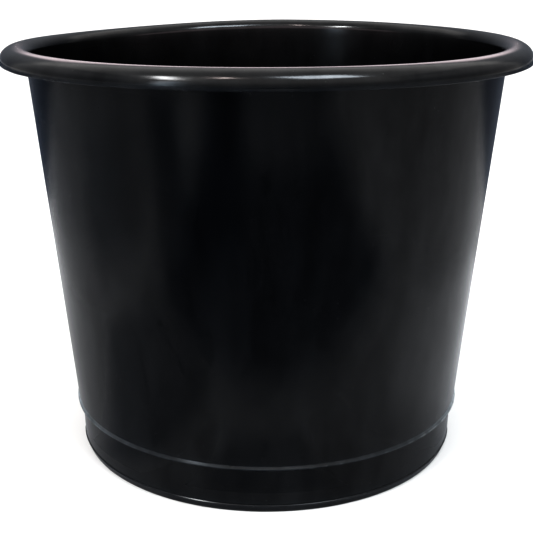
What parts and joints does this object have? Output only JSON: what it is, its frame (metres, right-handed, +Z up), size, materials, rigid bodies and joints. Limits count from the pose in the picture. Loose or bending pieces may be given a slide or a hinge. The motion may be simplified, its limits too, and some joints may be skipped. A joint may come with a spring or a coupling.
{
  "type": "florist bucket",
  "caption": "Round tapered black plastic bucket with a rolled-over rim and a stepped-in foot, for holding cut flowers in water.",
  "frame": {"origin": "centre of the circle that the foot stands on, at ground level", "axes": "+Z up along the bucket's axis, out of its mouth; +X and +Y are any two directions at right angles"},
  "size_m": [0.3, 0.3, 0.241],
  "materials": {
    "bucket_plastic": "semi-gloss moulded black polypropylene"
  },
  "bodies": {
    "root": {"bucket": "bucket_plastic"}
  },
  "joints": []
}
